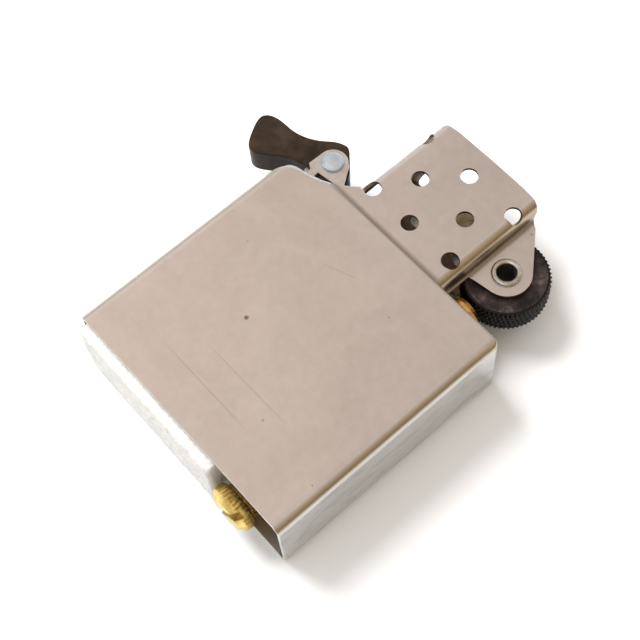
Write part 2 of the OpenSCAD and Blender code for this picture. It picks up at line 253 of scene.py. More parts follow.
def steel(name, marks=False, tint=False):
    """Brushed stainless sheet: blotchy, finely scratched, slightly warm."""
    g = Graph(name, metallic=1.0)
    broad = g.noise(g.coords(), 0.11, 4, 0.6, 0.6)
    fine = g.noise(g.coords(), 0.9, 5, 0.65)
    lines = g.noise(g.coords(scale=(0.16, 5.0, 1.0), turn=0.05), 1.0, 4, 0.7)
    base = g.ramp(broad, [(0.3, (0.575, 0.562, 0.55)), (0.7, (0.655, 0.645, 0.635))])
    mottle = g.ramp(fine, [(0.3, (0.50, 0.485, 0.475)), (0.7, (0.70, 0.69, 0.68))])
    base = g.mix(0.22, base, mottle)
    rough = g.math("ADD", g.math("MULTIPLY", fine, 0.12), 0.26)
    # Sparse dark specks, in about one cell of eight
    speck = g.cells(g.coords(), 0.42)
    keep = g.math("GREATER_THAN", g.split(speck.outputs["Color"])[0], 0.87)
    near = g.math("LESS_THAN", speck.outputs["Distance"], 0.07)
    dots = g.math("MULTIPLY", keep, near)
    base = g.mix(g.math("MULTIPLY", dots, 0.45), base, (0.2, 0.17, 0.15))
    height = g.math("ADD", g.math("MULTIPLY", lines, 0.5), g.math("MULTIPLY", fine, 0.5))
    # Wear on the case, with painted reflection and shade on its edges, dent and lip
    if marks:
        base, height = wear_and_painted_light(g, base, height)
    # Painted reflection and shade on the windscreen's bend, fold and foot
    if tint:
        base = painted_bend_light(g, base)
    g.set("Base Color", base)
    g.set("Roughness", rough)
    g.bump(height, 0.12, 0.04)
    return g.mat


def shaded_plate_steel():
    """Steel of the top plate, with painted shade darkening it beside the flint wheel."""
    g = Graph("shaded_plate_steel", metallic=0.9)
    broad = g.noise(g.coords(), 0.5, 4, 0.6)
    x = g.split(g.coords())[0]
    # Painted shade: darker from x = 5 mm towards the wheel side
    wheel_side_shade = g.math("MULTIPLY", g.math("SUBTRACT", x, 5.0), 0.35, clamp=True)
    clean = g.ramp(broad, [(0.3, (0.46, 0.45, 0.445)), (0.7, (0.60, 0.59, 0.58))])
    g.set("Base Color", g.mix(wheel_side_shade, clean, (0.035, 0.028, 0.024)))
    g.set("Roughness", g.ramp(broad, [(0.3, 0.28), (0.7, 0.45)]))
    g.bump(broad, 0.15, 0.05)
    return g.mat


def plain_metal(name, dark, light, rough=(0.25, 0.45), scale=0.8, bump=0.2, metallic=1.0):
    """Metal that varies between two colours and two roughnesses."""
    g = Graph(name, metallic=metallic)
    broad = g.noise(g.coords(), scale, 5, 0.6)
    fine = g.noise(g.coords(), scale * 4, 3, 0.6)
    g.set("Base Color", g.ramp(broad, [(0.3, dark), (0.7, light)]))
    g.set("Roughness", g.ramp(fine, [(0.3, rough[0]), (0.7, rough[1])]))
    g.bump(fine, bump, 0.04)
    return g.mat


def wheel_steel():
    """Blackened knurled rim, hub faces worn to a brown-grey."""
    g = Graph("wheel_black", metallic=0.6)
    x, y, _ = g.split(g.coords(move=(AX, AY, MID)))
    radius = g.math("SQRT", g.math("ADD", g.math("MULTIPLY", x, x), g.math("MULTIPLY", y, y)))
    hub = g.math("LESS_THAN", radius, 5.05)
    worn = g.noise(g.coords(), 0.55, 5, 0.65, 0.4)
    grain = g.noise(g.coords(), 3.5, 4, 0.6)
    rim = g.ramp(grain, [(0.35, (0.004, 0.003, 0.003)), (0.75, (0.020, 0.015, 0.012))])
    g.shader.inputs["Specular IOR Level"].default_value = 0.35
    wear = [(0.34, (0.014, 0.011, 0.012)), (0.56, (0.050, 0.038, 0.037)), (0.72, (0.17, 0.135, 0.125))]
    face = g.ramp(worn, wear)
    g.set("Base Color", g.mix(hub, rim, face))
    g.set("Roughness", g.ramp(grain, [(0.3, 0.38), (0.7, 0.6)]))
    g.bump(grain, 0.4, 0.06)
    return g.mat


def cotton(name, dark, light, scale, charred=None):
    """Matt fibre; charred gives the y where its blackening starts and is complete."""
    g = Graph(name, rough=0.9)
    base = g.ramp(g.noise(g.coords(), scale, 6, 0.7), [(0.3, dark), (0.7, light)])
    if charred is not None:
        y = g.split(g.coords())[1]
        start, full = charred
        burnt = g.math("MULTIPLY", g.math("SUBTRACT", y, start), 1 / (full - start), clamp=True)
        base = g.mix(burnt, base, (0.05, 0.04, 0.032))
    g.set("Base Color", base)
    g.shader.inputs["Sheen Weight"].default_value = 0.3
    g.shader.inputs["Sheen Roughness"].default_value = 0.5
    g.bump(g.noise(g.coords(), scale * 5, 4, 0.7), 0.6, 0.12)
    return g.mat


CASE = steel("case_steel", marks=True)
SHEET = steel("sheet_steel", tint=True)
INSIDE = plain_metal("screen_inside", (0.15, 0.115, 0.085), (0.36, 0.29, 0.22), (0.35, 0.5), 0.6)
EYELET = plain_metal("eyelet_steel", (0.36, 0.34, 0.31), (0.60, 0.56, 0.51), (0.22, 0.38), 1.2)
RIVET = plain_metal("rivet_alloy", (0.50, 0.60, 0.70), (0.64, 0.76, 0.88), (0.3, 0.5), 1.2)
# Painted shade: near-black steel for the eyelet's bore, which lies in shade
BORE_SHADE = plain_metal(
    "bore_dark", (0.02, 0.018, 0.016), (0.07, 0.06, 0.05), (0.5, 0.7), 1.2, metallic=0.6
)
BRASS = plain_metal("worn_brass", (0.40, 0.27, 0.05), (0.80, 0.62, 0.22), (0.24, 0.45), 0.8, 0.3)
TUBE = plain_metal("tube_brass", (0.45, 0.21, 0.045), (0.88, 0.56, 0.17), (0.2, 0.4), 0.9, 0.3)
BRONZE = plain_metal(
    "dark_bronze", (0.017, 0.012, 0.009), (0.042, 0.029, 0.020), (0.26, 0.42), 0.35, metallic=0.0
)
# The bronze is dull and hardly mirrors the room
BRONZE.node_tree.nodes["Principled BSDF"].inputs["Specular IOR Level"].default_value = 0.06
LEAF = plain_metal("leaf_spring", (0.26, 0.30, 0.28), (0.42, 0.46, 0.43), (0.3, 0.45))
SPRING = plain_metal("spring_wire", (0.35, 0.35, 0.35), (0.55, 0.55, 0.55), (0.25, 0.4))
FLINT = plain_metal("flint_alloy", (0.08, 0.08, 0.09), (0.2, 0.2, 0.21), (0.5, 0.7), metallic=0.7)
COPPER = plain_metal("tarnished_copper", (0.04, 0.014, 0.008), (0.15, 0.055, 0.028), (0.3, 0.5), 1.0)
WHEEL = wheel_steel()
WICK = cotton("wick_cotton", (0.80, 0.56, 0.36), (0.98, 0.84, 0.64), 1.2, charred=(44.9, 46.6))
WADDING = cotton("packing_cotton", (0.66, 0.64, 0.58), (0.86, 0.85, 0.81), 0.9)
FELT = cotton("felt_white", (0.50, 0.495, 0.48), (0.80, 0.795, 0.78), 2.0)


# ---------------------------------------------------------------- mesh helpers
def obj_from(name, verts, faces, mats, slots=None):
    """Smooth-shaded object from vertices in millimetres; slots gives each face's material."""
    mesh = bpy.data.meshes.new(name)
    mesh.from_pydata([tuple(c * MM for c in v) for v in verts], [], faces)
    mesh.update()
    for m in mats:
        mesh.materials.append(m)
    if slots:
        for poly, s in zip(mesh.polygons, slots):
            poly.material_index = s
    for poly in mesh.polygons:
        poly.use_smooth = True
    o = bpy.data.objects.new(name, mesh)
    bpy.context.collection.objects.link(o)
    return o


def soften(o, width, angle=38, segments=2, weighted=True):
    """Rounds edges sharper than angle and keeps flat faces flat in shading."""
    b = o.modifiers.new("round", "BEVEL")
    b.width = width * MM
    b.segments = segments
    b.limit_method = "ANGLE"
    b.angle_limit = math.radians(angle)
    b.use_clamp_overlap = False
    for poly in o.data.polygons:
        poly.use_smooth = True
    if weighted:
        w = o.modifiers.new("normals", "WEIGHTED_NORMAL")
        w.weight = 100
    return o


def crease(o, angle, weighted=False):
    """Shades edges sharper than angle as hard, and flat faces flat if weighted."""
    o.data.set_sharp_from_angle(angle=math.radians(angle))
    if weighted:
        w = o.modifiers.new("normals", "WEIGHTED_NORMAL")
        w.weight = 100
        w.keep_sharp = True


def outward(o, weld=0.0):
    """Points all faces outward, after merging vertices closer than weld metres."""
    bm = bmesh.new()
    bm.from_mesh(o.data)
    if weld:
        bmesh.ops.remove_doubles(bm, verts=bm.verts, dist=weld)
    bmesh.ops.recalc_face_normals(bm, faces=bm.faces)
    bm.to_mesh(o.data)
    bm.free()
    return o


def applied(o):
    """Puts the result of an object's modifiers into its mesh and drops them."""
    bpy.context.view_layer.update()
    shape = bpy.data.meshes.new_from_object(o.evaluated_get(bpy.context.evaluated_depsgraph_get()))
    o.modifiers.clear()
    o.data = shape
    o.data.name = o.name
    return o


def tri(v):
    """Triangle wave: 0 at whole numbers, 1 halfway between them."""
    return 1 - abs(2 * (v - math.floor(v)) - 1)


def arc(cx, cy, r, a0, a1, n):
    """n + 1 points of an arc, from a0 to a1 degrees."""
    pts = []
    for i in range(n + 1):
        a = math.radians(a0 + (a1 - a0) * i / n)
        pts.append((cx + r * math.cos(a), cy + r * math.sin(a)))
    return pts


def tube_faces(rows, seg, first=0):
    """Quads between rows + 1 closed rings of seg vertices, the first at vertex first."""
    faces = []
    for i in range(rows):
        low, high = first + i * seg, first + (i + 1) * seg
        for k in range(seg):
            m = (k + 1) % seg
            faces.append((low + k, low + m, high + m, high + k))
    return faces


def capped(rows, seg):
    """Faces of a closed tube: its quads and a face at each end."""
    ends = [list(range(seg)), [rows * seg + k for k in range(seg)]]
    return tube_faces(rows, seg) + ends


def lathe(name, profile, centre, mats, seg, dark_below=0.0):
    """Closed ring turned about z from (radius, height) points, dark inside a radius."""
    verts, faces, slots = [], [], []
    n = len(profile)
    for k in range(seg):
        a = 2 * math.pi * k / seg
        for r, h in profile:
            verts.append((centre[0] + r * math.cos(a), centre[1] + r * math.sin(a), MID + h))
    for k in range(seg):
        m = (k + 1) % seg
        for i in range(n):
            j = (i + 1) % n
            if profile[i][0] < 1e-6 and profile[j][0] < 1e-6:
                continue
            faces.append((k * n + i, m * n + i, m * n + j, k * n + j))
            slots.append(1 if max(profile[i][0], profile[j][0]) < dark_below else 0)
    return outward(obj_from(name, verts, faces, mats, slots), 1e-7)


# ---------------------------------------------------------------- tank case
def case_path():
    """Outline of the case in plan as (x, y, rounding radius), felt end to felt end."""
    path = [(-HALF_W, y, 1.4) for y in (0.0, 10.0, 20.0, 26.0, 29.65)]
    corner = arc(-15.25, 29.65, 2.9, 180, 98, 10)[1:]
    for i, (x, y) in enumerate(corner):
        path.append((x, y, 1.4 - 0.65 * (i + 1) / len(corner)))
    for x, y in arc(-17.75, 44.75, 12.4, -79.5, -61, 12)[1:]:
        path.append((x, y, 0.75))
    path += [(-11.2, 34.02, 0.7), (-10.6, 34.05, 0.62), (-9.8, 34.0, 0.52), (-8.8, 33.93, 0.45)]
    path += [(x, LONG, 0.42) for x in (-6.0, 0.0, 6.0, 12.0, 16.6)]
    far = arc(17.15, 32.9, 1.0, 90, 0, 8)
    for i, (x, y) in enumerate(far):
        path.append((x, y, 0.42 + 0.4 * i / (len(far) - 1)))
    path += [(HALF_W, 32.3, 0.92), (HALF_W, 31.5, 1.08), (HALF_W, 30.4, 1.24), (HALF_W, 29.0, 1.36)]
    path += [(HALF_W, y, 1.4) for y in (27.0, 20.0, 10.0, 0.0)]
    return path


def case_shell():
    """Folded sheet: front and back with rounded rims, and the closed parts of the side walls."""
    path = case_path()
    n = len(path)
    normals = []
    for i in range(n):
        before = path[max(i - 1, 0)]
        after = path[min(i + 1, n - 1)]
        t = Vector((after[0] - before[0], after[1] - before[1])).normalized()
        normals.append(Vector((t.y, -t.x)))
    # Rings from the side wall over the rounded rim, then one just inside the flat face
    steps = 7
    verts, rings = [], []
    for front in (True, False):
        turns = [math.pi / 2 * k / steps for k in range(steps + 1)]
        levels = [(1 - math.cos(a), 0.0, 1 - math.sin(a)) for a in turns] + [(1, 0.1, 0)]
        for inward, more, drop in levels:
            ring = []
            for (x, y, r), m in zip(path, normals):
                inset = r * inward + more
                z = THICK - r * drop
                ring.append(len(verts))
                verts.append((x + m.x * inset, max(y + m.y * inset, 0.0), z if front else THICK - z))
            rings.append(ring)
    faces = []
    half = steps + 2
    for s in (0, half):
        for low, high in zip(rings[s : s + half - 1], rings[s + 1 : s + half]):
            for i in range(n - 1):
                faces.append((low[i], low[i + 1], high[i + 1], high[i]))
        faces.append(tuple(rings[s + half - 1]))
    # Side walls; the wall stays open where the cam and the wheel stand
    for i in range(n - 1):
        x = (path[i][0] + path[i + 1][0]) / 2
        y = (path[i][1] + path[i + 1][1]) / 2
        if x < -17.2 and y < 31.4 or x > 17.0:
            faces.append((rings[0][i], rings[0][i + 1], rings[half][i + 1], rings[half][i]))
    o = outward(obj_from("case_shell", verts, faces, [CASE, BORE_SHADE]))
    centre = Vector((0, 17, MID)) * MM
    largest = max(o.data.polygons, key=lambda p: p.area)
    if (largest.center - centre).dot(largest.normal) < 0:
        o.data.flip_normals()
    sheet = o.modifiers.new("sheet", "SOLIDIFY")
    sheet.thickness = WALL * MM
    sheet.offset = -1
    sheet.use_even_offset = False
    soften(o, 0.07, 50)
    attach(o, "unit")
    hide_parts("tank_case")


case_shell()


# ---------------------------------------------------------------- windscreen
# Half of the folded sheet, from the middle of its closed side round the front to the ear:
# lines as (start, direction, outward normal, length), bends as (centre, radius, from, to, length)
BEND = 1.5
BEND_LENGTH = 1.3 * math.pi / 2
FOLD = [
    ("line", (-8.8, MID), (0, 1), (-1, 0), 3.75),
    ("arc", (-7.3, 9.45), BEND, 180, 90, BEND_LENGTH),
    ("line", (-7.3, 10.95), (1, 0), (0, 1), 13.85),
    ("arc", (6.55, 9.45), BEND, 90, 0, BEND_LENGTH),
    ("line", (8.05, 9.45), (0, -1), (1, 0), 0.8),
    ("bay", (8.5, 8.65), 0.45, 180, 270, 0.65 * math.pi / 2),
    ("line", (8.5, 8.2), (1, 0), (0, 1), 12.0),
]
U = [0.0]
for part in FOLD:
    U.append(U[-1] + part[-1])


def folded(u, depth):
    """Place of a point of the flat sheet, u along the fold, depth below its outer surface."""
    k = 0
    while k < len(FOLD) - 1 and u > U[k + 1]:
        k += 1
    part, s = FOLD[k], u - U[k]
    if part[0] == "line":
        _, p, d, n, _ = part
        return p[0] + d[0] * s - n[0] * depth, p[1] + d[1] * s - n[1] * depth
    kind, c, r, a0, a1, length = part
    a = math.radians(a0 + (a1 - a0) * s / length)
    rr = r - depth if kind == "arc" else r + depth
    return c[0] + rr * math.cos(a), c[1] + rr * math.sin(a)


def u_front(x):
    """Distance along the fold of a point x on the front face."""
    return U[2] + x + 7.3


def u_ear(x):
    """Distance along the fold of a point x on the wheel ear."""
    return U[6] + x - 8.5


def screen_outline():
    """Outline of half the flat sheet as (u, y)."""
    radius = 3.15
    pts = [(3.2, 33.2), (U[6] - 0.2, 33.2), (U[6] - 0.2, 38.25), (u_ear(9.2), 38.5)]
    for deg in range(-78, 45, 8):
        a = math.radians(deg)
        pts.append((u_ear(AX + radius * math.cos(a)), AY + radius * math.sin(a)))
    pts += [(u_ear(9.2), 48.85), (U[6] - 0.1, 49.35), (U[5] + 0.1, 49.75), (U[4] + 0.2, 50.05)]
    pts += [(U[3] + 0.6, 50.42), (U[3] - 1.5, 50.58), (U[2] + 7.0, 50.62), (U[2] + 1.0, 50.52)]
    pts += [(U[2] - 0.5, 50.3), (U[2] - 1.2, 49.85), (U[2] - 1.7, 49.5), (U[1] - 0.2, 49.4)]
    pts += [(0.0, 49.4), (0.0, 40.0), (2.9, 40.0), (3.2, 39.7)]
    return pts


def hole_ring(u, y, r=1.125, n=28):
    """Ring of n points around an air hole, or with r and n around the rivet's hole."""
    turns = [2 * math.pi * i / n for i in range(n)]
    return [(u + r * math.cos(a), y + r * math.sin(a)) for a in turns]


def flat_sheet():
    """Half of the flat sheet with its holes, cut along its bends: points, triangles, rim edges."""
    holes = [
        (U[2] - 0.15, 37.15),
        (u_front(-0.8), 37.15),
        (u_front(6.25), 37.15),
        (u_front(-4.45), 42.35),
        (u_front(3.4), 42.35),
        (U[2] - 1.2, 47.0),
        (u_front(-0.65), 47.0),
        (u_front(6.9) + 0.05, 47.0),
    ]
    flat = bmesh.new()
    edges = []
    rings = [hole_ring(u, y) for u, y in holes] + [hole_ring(u_ear(AX), AY, 1.47, 36)]
    for loop in [screen_outline()] + rings:
        vs = [flat.verts.new((u, y, 0)) for u, y in loop]
        for a, b in zip(vs, vs[1:] + vs[:1]):
            edges.append(flat.edges.new((a, b)))
    bmesh.ops.triangle_fill(flat, use_beauty=True, edges=edges)
    cuts = []
    for k, count in ((1, 9), (3, 9), (5, 6)):
        cuts += [U[k] + (U[k + 1] - U[k]) * i / count for i in range(count + 1)]
    for u in cuts:
        geom = flat.verts[:] + flat.edges[:] + flat.faces[:]
        bmesh.ops.bisect_plane(flat, geom=geom, dist=1e-5, plane_co=(u, 0, 0), plane_no=(1, 0, 0))
    flat.verts.index_update()
    base = [(v.co.x, v.co.y) for v in flat.verts]
    tris = [[v.index for v in f.verts] for f in flat.faces]
    rim = [[v.index for v in e.verts] for e in flat.edges if len(e.link_faces) == 1]
    flat.free()
    return base, tris, rim


def screen_sheet():
    """Windscreen with its ears: the flat half folded, thickened and mirrored to the back."""
    base, tris, rim = flat_sheet()
    n = len(base)
    verts, faces, slots = [], [], []
    for back in (False, True):
        start = len(verts)
        for depth in (0.0, SHEET_T):
            for u, y in base:
                x, z = folded(u, depth)
                verts.append((x, y, THICK - z if back else z))
        for t in tris:
            faces.append([start + i for i in t])
            faces.append([start + n + i for i in reversed(t)])
            slots += [0, 1]
        for a, b in rim:
            if base[a][0] < 1e-4 and base[b][0] < 1e-4:
                continue
            faces.append([start + a, start + b, start + n + b, start + n + a])
            slots.append(1)
    o = outward(obj_from("screen_sheet", verts, faces, [SHEET, INSIDE], slots), 1e-6)
    crease(o, 40, weighted=True)
    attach(o, "unit")
    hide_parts("windscreen")


def screen_web():
    """The windscreen's small web over the shoulder, front and back."""
    plan = [(-7.3, 33.2), (-12.9, 33.2)] + arc(-17.75, 44.75, 12.4, -67, -43.8, 10)
    plan += [(-8.6, 36.3), (-8.3, 36.12), (-7.9, 35.98), (-7.3, 35.95)]
    m = len(plan)
    verts, faces = [], []
    for z0 in (THICK - 0.85, 0.45):
        s = len(verts)
        verts += [(x, y, z0) for x, y in plan] + [(x, y, z0 + SHEET_T) for x, y in plan]
        faces += [[s + i for i in range(m)], [s + m + i for i in range(m)]]
        faces += [[s + i, s + (i + 1) % m, s + m + (i + 1) % m, s + m + i] for i in range(m)]
    web = soften(outward(obj_from("screen_web", verts, faces, [SHEET])), 0.16, 50, 3)
    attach(web, "unit")


screen_sheet()
screen_web()


# ---------------------------------------------------------------- flint wheel and the rivets
def flint_wheel():
    """Wheel with a crossed knurl on its rim, between slightly sunk hub faces."""
    seg, rows, tip = 480, 13, 5.6
    teeth, knurl = 60, 0.42
    profile = [(1.49, -1.84, 0), (4.72, -1.84, 0), (4.9, -1.93, 0), (5.08, -1.93, 0)]
    for i in range(rows):
        z = -1.85 + 3.7 * i / (rows - 1)
        edge = min(1.0, (1.95 - abs(z)) / 0.28)
        profile.append((tip - 0.26 * (1 - edge), z, knurl * (0.35 + 0.65 * edge)))
    profile += [(5.08, 1.93, 0), (4.9, 1.93, 0), (4.72, 1.84, 0), (1.49, 1.84, 0)]
    verts, faces = [], []
    n = len(profile)
    for k in range(seg):
        a = 2 * math.pi * k / seg
        for r, z, deep in profile:
            if deep:
                turn = k / seg
                first = tri(teeth * turn + 0.55 * z)
                second = tri(teeth * turn - 0.95 * z + 0.25)
                rough = noise.noise(Vector((r * math.cos(a) * 2.2, r * math.sin(a) * 2.2, z * 2.2)))
                r -= deep * (0.62 * (1 - first) ** 1.1 + 0.38 * (1 - second)) + 0.05 * rough
                r = min(r, tip)
            verts.append((AX + r * math.cos(a), AY + r * math.sin(a), MID + z))
    for k in range(seg):
        m = (k + 1) % seg
        for i in range(n):
            j = (i + 1) % n
            faces.append((k * n + i, m * n + i, m * n + j, k * n + j))
    o = outward(obj_from("striker_wheel", verts, faces, [WHEEL]))
    crease(o, 28)
    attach(o, "wheel")
    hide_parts("flint_wheel")


flint_wheel()


def eyelet():
    """Hollow rivet with a rolled rim at each end and painted shade in its bore."""
    half = [(1.15, 0.0), (1.15, 2.5), (1.19, 2.68), (1.3, 2.84), (1.47, 2.94), (1.6, 2.95)]
    half += [(1.74, 2.89), (1.85, 2.76), (1.9, 2.62), (1.88, 2.52), (1.45, 2.5), (1.45, 0.0)]
    profile = half + [(r, -h) for r, h in reversed(half[1:-1])]
    o = lathe("wheel_eyelet", profile, (AX, AY), [EYELET, BORE_SHADE], 80, dark_below=1.17)
    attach(o, "unit")
    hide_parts("wheel_rivet")


eyelet()


def cam_stud():
    """Rivet with a domed head and a fine ring around it at each end."""
    top = 2.52
    head = [(0.0, top + 0.46), (0.55, top + 0.45), (0.98, top + 0.41), (1.04, top + 0.36)]
    head += [(1.12, top + 0.4), (1.25, top + 0.38), (1.38, top + 0.27), (1.45, top + 0.1)]
    head += [(1.44, top), (0.9, top)]
    profile = head + [(r, -h) for r, h in reversed(head)]
    o = lathe("cam_stud", profile, PIVOT, [RIVET], 72)
    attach(o, "unit")
    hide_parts("cam_rivet")


cam_stud()


# ---------------------------------------------------------------- cam lever
def turned_open(x, y):
    """A point of the lever, thumb end at +x, turned to where it stands open."""
    a = math.radians(199.8)
    return x * math.cos(a) + y * math.sin(a), x * math.sin(a) - y * math.cos(a)


def cam_outline():
    """Outline about the rivet, its hub clipped by the flats that the leaf spring bears on."""
    ctrl = [(1.3, 3.38), (2.2, 2.98), (3.2, 2.54), (4.4, 2.24), (5.8, 2.12), (7.3, 2.32)]
    ctrl += [(8.6, 2.78), (9.7, 3.1), (10.9, 3.12), (11.8, 2.75), (12.1, 1.9), (11.95, 0.6)]
    ctrl += [(11.65, -1.0), (11.3, -2.2), (10.6, -2.85), (9.6, -2.85), (8.2, -2.4), (6.6, -1.72)]
    ctrl += [(5.0, -1.42), (3.4, -1.62), (2.0, -2.25), (0.9, -2.72)]
    centre, radius = turned_open(0.2, 0.35), 3.08
    arm = [p for p in (turned_open(x, y) for x, y in ctrl) if math.hypot(*p) > 3.2]
    start = math.atan2(arm[-1][1] - centre[1], arm[-1][0] - centre[0])
    end = math.atan2(arm[0][1] - centre[1], arm[0][0] - centre[0])
    if end < start:
        end += 2 * math.pi
    flats = ((-90, 2.6), (-25, 2.6), (48, 2.1))
    hub = []
    for i in range(1, 60):
        a = start + (end - start) * i / 60
        p = (centre[0] + radius * math.cos(a), centre[1] + radius * math.sin(a))
        for deg, reach in flats:
            n = (math.cos(math.radians(deg)), math.sin(math.radians(deg)))
            over = p[0] * n[0] + p[1] * n[1] - reach
            if over > 0:
                p = (p[0] - over * n[0], p[1] - over * n[1])
        hub.append(p)
    return arm + hub


def neighbours(loop):
    return zip(loop, loop[1:] + loop[:1])


def evened(loop, count):
    """A loop with its corners rounded, as count points at even spacing."""
    for _ in range(2):
        cut = []
        for p, q in neighbours(loop):
            cut.append((p[0] * 0.75 + q[0] * 0.25, p[1] * 0.75 + q[1] * 0.25))
            cut.append((p[0] * 0.25 + q[0] * 0.75, p[1] * 0.25 + q[1] * 0.75))
        loop = cut
    length = [0.0]
    for p, q in neighbours(loop):
        length.append(length[-1] + math.dist(p, q))
    even, k = [], 0
    for i in range(count):
        want = length[-1] * i / count
        while length[k + 1] < want:
            k += 1
        f = (want - length[k]) / max(length[k + 1] - length[k], 1e-9)
        p, q = loop[k], loop[(k + 1) % len(loop)]
        even.append((p[0] + (q[0] - p[0]) * f, p[1] + (q[1] - p[1]) * f))
    for _ in range(6):
        around = zip(even[-1:] + even[:-1], even, even[1:] + even[:1])
        even = [tuple((p[d] + 2 * q[d] + t[d]) / 4 for d in (0, 1)) for p, q, t in around]
    return even


def cam_body():
    """Lever with rounded edges: rings over its flank, and faces pierced by the rivet's bore."""
    loop = evened(cam_outline(), 150)
    n = len(loop)
    area = sum(p[0] * q[1] - q[0] * p[1] for p, q in neighbours(loop))
    turn = 1 if area > 0 else -1
    inward = []
    for i in range(n):
        p, q = loop[i - 1], loop[(i + 1) % n]
        t = Vector((q[0] - p[0], q[1] - p[1])).normalized()
        inward.append(Vector((-t.y, t.x)))
    # (inset, height) of each ring, from the back face over the flank to the front face
    levels = [(0.2, -2.0), (0.12, -1.985), (0.05, -1.94), (0.012, -1.87), (0.0, -1.78)]
    levels += [(d, -z) for d, z in reversed(levels)]
    verts = []
    for d, z in levels:
        for (x, y), m in zip(loop, inward):
            verts.append((PIVOT[0] + x + turn * m.x * d, PIVOT[1] + y + turn * m.y * d, MID + z))
    faces = tube_faces(len(levels) - 1, n)
    bore = len(verts)
    bore_seg, bore_radius = 40, 0.95
    for z in (-2.0, 2.0):
        for i in range(bore_seg):
            a = 2 * math.pi * i / bore_seg
            x, y = bore_radius * math.cos(a), bore_radius * math.sin(a)
            verts.append((PIVOT[0] + x, PIVOT[1] + y, MID + z))
    faces += tube_faces(1, bore_seg, bore)
    for outer, inner in ((0, bore), ((len(levels) - 1) * n, bore + bore_seg)):
        bm = bmesh.new()
        edges, number = [], {}
        for start, size in ((outer, n), (inner, bore_seg)):
            ring = [bm.verts.new(verts[start + i]) for i in range(size)]
            number.update({v: start + i for i, v in enumerate(ring)})
            edges += [bm.edges.new(pair) for pair in neighbours(ring)]
        bmesh.ops.triangle_fill(bm, use_beauty=True, edges=edges)
        faces += [[number[v] for v in f.verts] for f in bm.faces]
        bm.free()
    o = outward(obj_from("cam_body", verts, faces, [BRONZE]))
    crease(o, 50, weighted=True)
    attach(o, "cam")
    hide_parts("cam_lever")


cam_body()


# ---------------------------------------------------------------- flint screw
def screw_head():
    """Knurled head with a driver's slot cut across it."""
    ridges = 34
    seg = ridges * 10
    # (radius, y, depth of the knurl)
    rings = [(0.9, 0.0, 0), (2.85, 0.0, 0), (3.0, -0.1, 0.06), (3.08, -0.2, 0.16)]
    rings += [(3.1, -0.8, 0.17), (3.1, -1.25, 0.16), (3.05, -1.36, 0.08), (2.98, -1.42, 0)]
    rings += [(2.42, -2.02, 0), (2.3, -2.1, 0)]
    verts, faces = [], []
    n = len(rings)
    for k in range(seg):
        a = 2 * math.pi * k / seg
        ridge = tri(ridges * k / seg) ** 0.8
        for r, y, deep in rings:
            rr = r - deep * (1 - ridge)
            verts.append((TX + rr * math.cos(a), y, MID + rr * math.sin(a)))
    for k in range(seg):
        m = (k + 1) % seg
        for i in range(n - 1):
            faces.append((k * n + i, m * n + i, m * n + i + 1, k * n + i + 1))
    faces.append([k * n for k in range(seg)])
    faces.append([k * n + n - 1 for k in range(seg)])
    o = outward(obj_from("screw_head", verts, faces, [BRASS]))
    bpy.ops.mesh.primitive_cube_add(size=1)
    cutter = bpy.context.object
    cutter.dimensions = (8 * MM, 2.3 * MM, 1.0 * MM)
    cutter.rotation_euler = (0, math.radians(-50), 0)
    cutter.location = (TX * MM, -2.1 * MM, MID * MM)
    slot = o.modifiers.new("slot", "BOOLEAN")
    slot.operation = "DIFFERENCE"
    slot.solver = "EXACT"
    slot.object = cutter
    applied(o)
    bpy.data.objects.remove(cutter)
    soften(o, 0.05, 42, weighted=False)
    crease(o, 30)
    return o


def screw_shank():
    """Threaded shank, faded at both ends of the thread, and the spring's pin beyond it."""
    seg, per_turn, pitch, long = 36, 10, 0.7, 6.0
    rows = int(long / pitch * per_turn)
    verts = []
    for i in range(rows + 1):
        y = long * i / rows
        fade = min(1.0, y / 0.5, (long - y) / 0.4)
        for k in range(seg):
            a = 2 * math.pi * k / seg
            r = 1.66 + 0.27 * fade * min(1, 1.6 * tri(y / pitch - k / seg))
            verts.append((TX + r * math.cos(a), y, MID + r * math.sin(a)))
    pin = ((long, 0.75), (7.5, 0.75), (7.6, 0.62))
    for y, r in pin:
        for k in range(seg):
            a = 2 * math.pi * k / seg
            verts.append((TX + r * math.cos(a), y, MID + r * math.sin(a)))
    o = outward(obj_from("screw_shank", verts, capped(rows + len(pin), seg), [BRASS]))
    crease(o, 40)
    return o


head = screw_head()
shank = screw_shank()
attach(head, "screw")
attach(shank, "screw")
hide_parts("flint_screw")


# ---------------------------------------------------------------- wick and its wire
def wick():
    """Braided cotton cord with a frayed, domed end."""
    seg, rows = 64, 190
    radius, y0, y1 = 1.62, 4.2, 46.4
    verts = []
    for i in range(rows + 1):
        y = y0 + (y1 - y0) * i / rows
        for k in range(seg):
            a = 2 * math.pi * k / seg
            u, v = 5 * k / seg + y / 5.2, 5 * k / seg - y / 5.2
            over = math.sin(2 * math.pi * (u + v) / 2) > 0
            plait = max(tri(u) * (1.0 if over else 0.75), tri(v) * (0.75 if over else 1.0))
            frayed = 0.1 * noise.noise(Vector((a * 3, y * 2.0, 0)))
            r = radius - 0.1 + 0.16 * plait + frayed * 0.5
            verts.append((WICK_X + r * math.cos(a), y, MID + r * math.sin(a)))
    end = ((0.8, 0.12), (0.45, -0.1), (0.15, 0.05))
    for part, rise in end:
        r = radius * part
        for k in range(seg):
            a = 2 * math.pi * k / seg
            wild = 0.16 * noise.noise(Vector((math.cos(a) * 4 * part, math.sin(a) * 4 * part, 7)))
            y = y1 - 0.15 + rise + wild
            verts.append((WICK_X + r * math.cos(a), y, MID + r * math.sin(a)))
    o = outward(obj_from("wick_braid", verts, capped(rows + len(end), seg), [WICK]))
    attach(o, "wick")
    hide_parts("wick")


